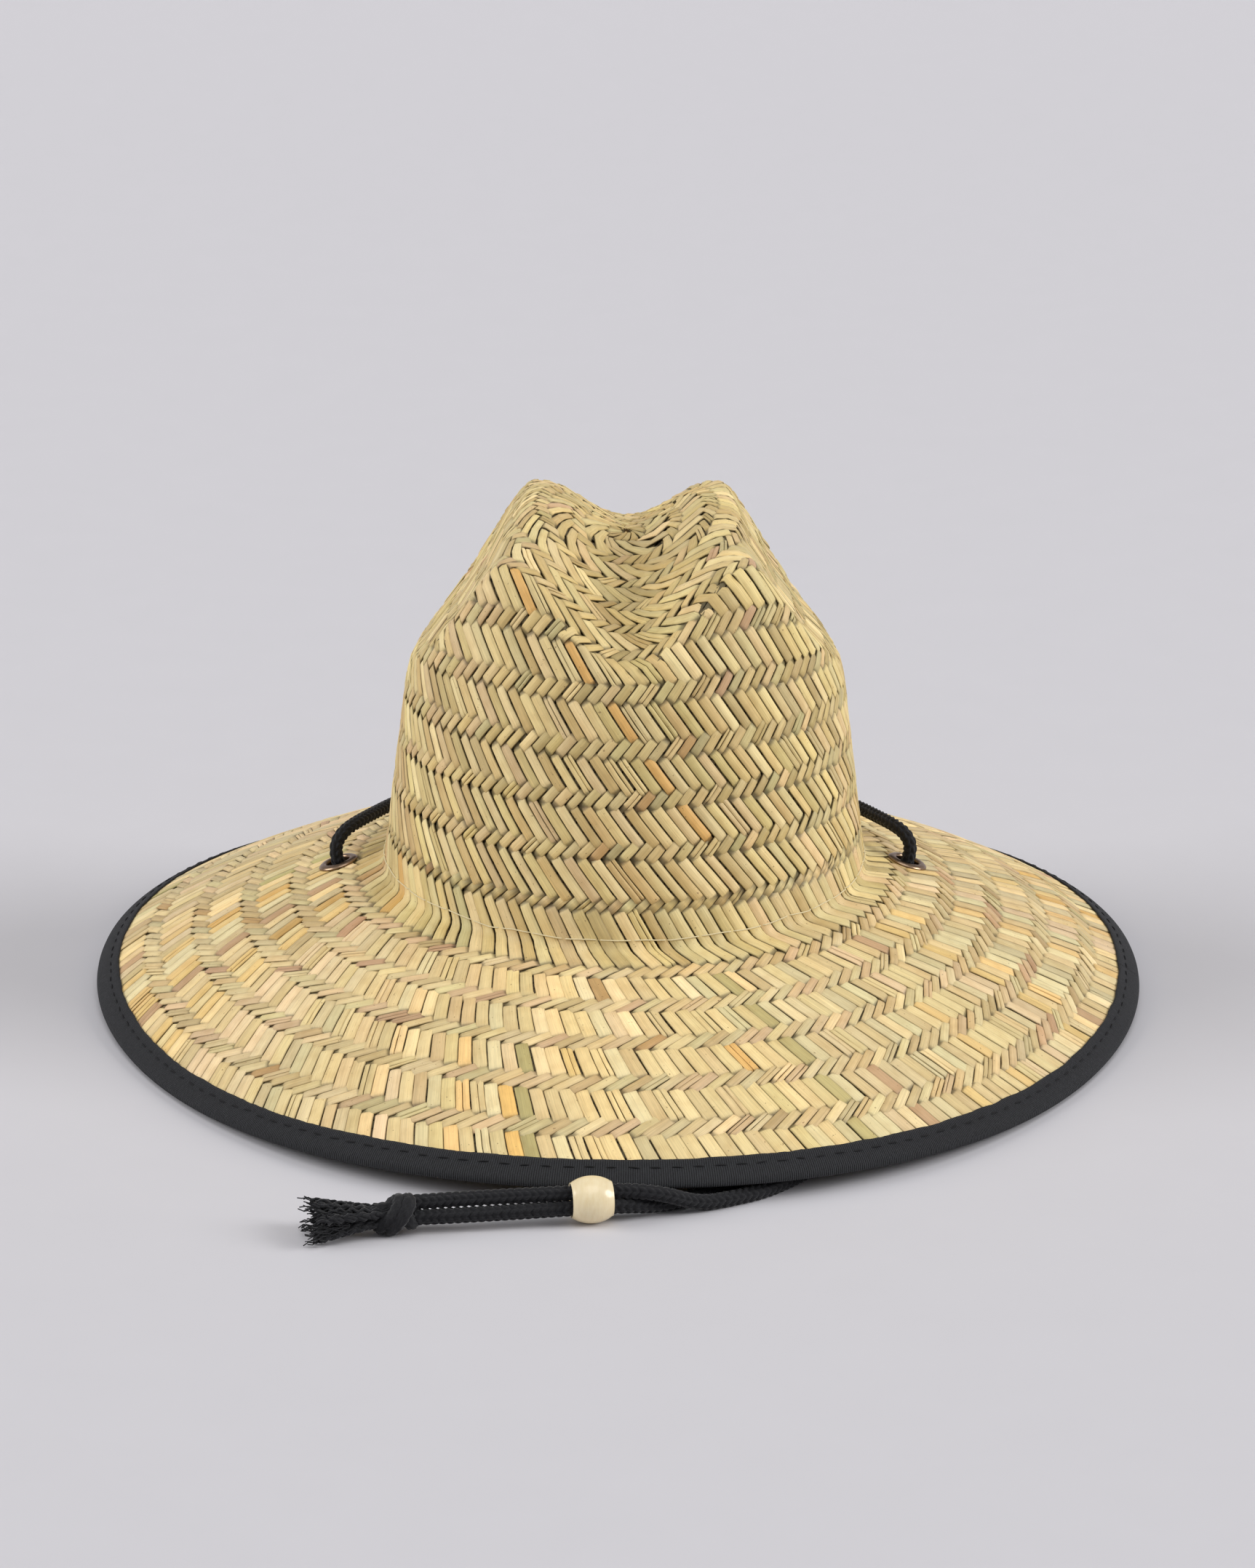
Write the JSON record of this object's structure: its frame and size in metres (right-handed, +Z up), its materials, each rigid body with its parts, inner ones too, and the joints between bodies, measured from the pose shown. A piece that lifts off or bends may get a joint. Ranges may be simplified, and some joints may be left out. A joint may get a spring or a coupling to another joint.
{
  "type": "straw sun hat",
  "caption": "Wide-brimmed woven rush sun hat with a creased crown, a bound brim edge, and a braided chin cord with a sliding bead.",
  "frame": {"origin": "bottom centre of the hat without its chin cord, on the surface that it stands on", "axes": "+Z up, +Y along the hat from the end where the chin cord comes out from under the brim to the other end, +X across the hat"},
  "size_m": [0.3815, 0.4521, 0.1771],
  "materials": {
    "crown_straw": "woven rush, dry, pale greenish straw",
    "brim_straw": "woven rush, dry, warm straw with brown and green strips",
    "binding_tape": "ribbed grosgrain, matt",
    "black_thread": "twisted thread, satin",
    "cream_thread": "cotton thread, matt",
    "sweatband_cotton": "cotton tape, matt",
    "eyelet_brass": "aged brass, polished on the rim",
    "cord_braid": "round braid, satin",
    "bead_cream": "gloss"
  },
  "bodies": {
    "hat": {"straw_crown": "crown_straw", "straw_brim": "brim_straw", "brim_binding": "binding_tape", "binding_stitches": "black_thread", "crown_seam_thread": "cream_thread", "sweatband": "sweatband_cotton", "eyelet_left": "eyelet_brass", "eyelet_right": "eyelet_brass", "eyelet_left_washer": "eyelet_brass", "eyelet_right_washer": "eyelet_brass", "cord_behind_crown": "cord_braid", "cord_left_fall": "cord_braid", "cord_right_fall": "cord_braid", "cord_knot": "cord_braid", "cord_tassel": "cord_braid"},
    "bead": {"chin_bead": "bead_cream"}
  },
  "joints": [
    {"name": "bead_slide", "type": "slide", "parent": "hat", "child": "bead", "axis": [-0.9859, -0.1673, 0], "range_m": [0, 0.048]}
  ]
}
